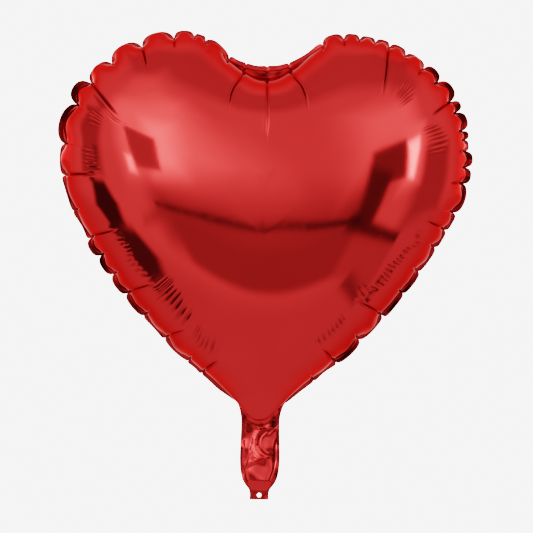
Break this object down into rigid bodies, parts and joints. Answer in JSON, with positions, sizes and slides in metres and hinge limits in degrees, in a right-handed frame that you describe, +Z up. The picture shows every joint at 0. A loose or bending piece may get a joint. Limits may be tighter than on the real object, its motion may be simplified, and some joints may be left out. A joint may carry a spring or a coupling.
{
  "type": "heart-shaped foil balloon",
  "caption": "Inflated heart-shaped balloon of metallised film, with a welded rim, a flat filling tail with a tie hole and a self-sealing film valve.",
  "frame": {"origin": "float centre: on the middle plane and the rim's weld plane, 155.5 mm below the tops of the two lobes' domes, where a helium fill's lift is taken to act", "axes": "+Z up from the tail to the lobes, +X to the right seen from the front, -Y out of the front panel's crown"},
  "size_m": [0.382, 0.1836, 0.4335],
  "materials": {
    "red_foil": "glossy metallised film, red",
    "seal_layer": "fused film, milky red",
    "valve_film": "clear soft film",
    "valve_weld": "clear film, fused and slightly milky"
  },
  "bodies": {
    "envelope": {"front_foil_panel": "red_foil", "rear_foil_panel": "red_foil", "rim_heat_seal": "seal_layer", "valve_throat_front_film": "valve_film", "valve_throat_rear_film": "valve_film", "valve_throat_left_weld": "valve_weld", "valve_throat_right_weld": "valve_weld"},
    "tail": {"tail_front_foil": "red_foil", "tail_rear_foil": "red_foil", "tail_left_seal": "seal_layer", "tail_right_seal": "seal_layer", "valve_front_film": "valve_film", "valve_rear_film": "valve_film", "valve_left_weld": "valve_weld", "valve_right_weld": "valve_weld"}
  },
  "joints": [
    {"name": "tail_fold", "type": "hinge", "parent": "envelope", "child": "tail", "pos_m": [0, 0, -0.2045], "axis": [1, 0, 0], "range_deg": [-90, 90]}
  ]
}
